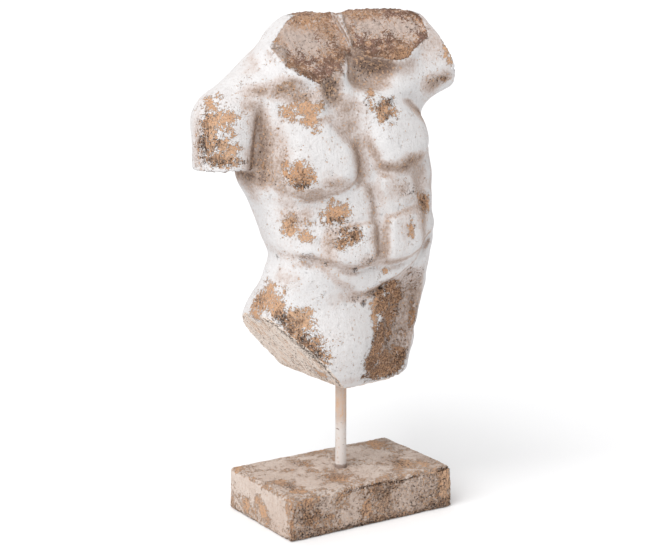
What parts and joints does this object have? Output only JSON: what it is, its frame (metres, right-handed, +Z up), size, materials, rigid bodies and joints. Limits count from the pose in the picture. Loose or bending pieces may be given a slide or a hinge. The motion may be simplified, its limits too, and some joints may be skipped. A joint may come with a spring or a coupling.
{
  "type": "torso sculpture on stand",
  "caption": "Weathered headless, armless male torso cast with broken neck, arm and thighs, held on a thin rod above a plain rectangular block.",
  "frame": {"origin": "middle of the flat underside of the base block", "axes": "+Z up along the rod, +X to the figure's left, which is the long side of the base, +Y to the figure's back"},
  "size_m": [0.2608, 0.1327, 0.468],
  "materials": {
    "torso_cast": "matt distressed white wash over tan cast resin",
    "rod_metal": "matt beige paint",
    "base_cast": "matt worn wash over tan cast resin"
  },
  "bodies": {
    "root": {"torso": "torso_cast", "rod": "rod_metal", "base": "base_cast"}
  },
  "joints": []
}
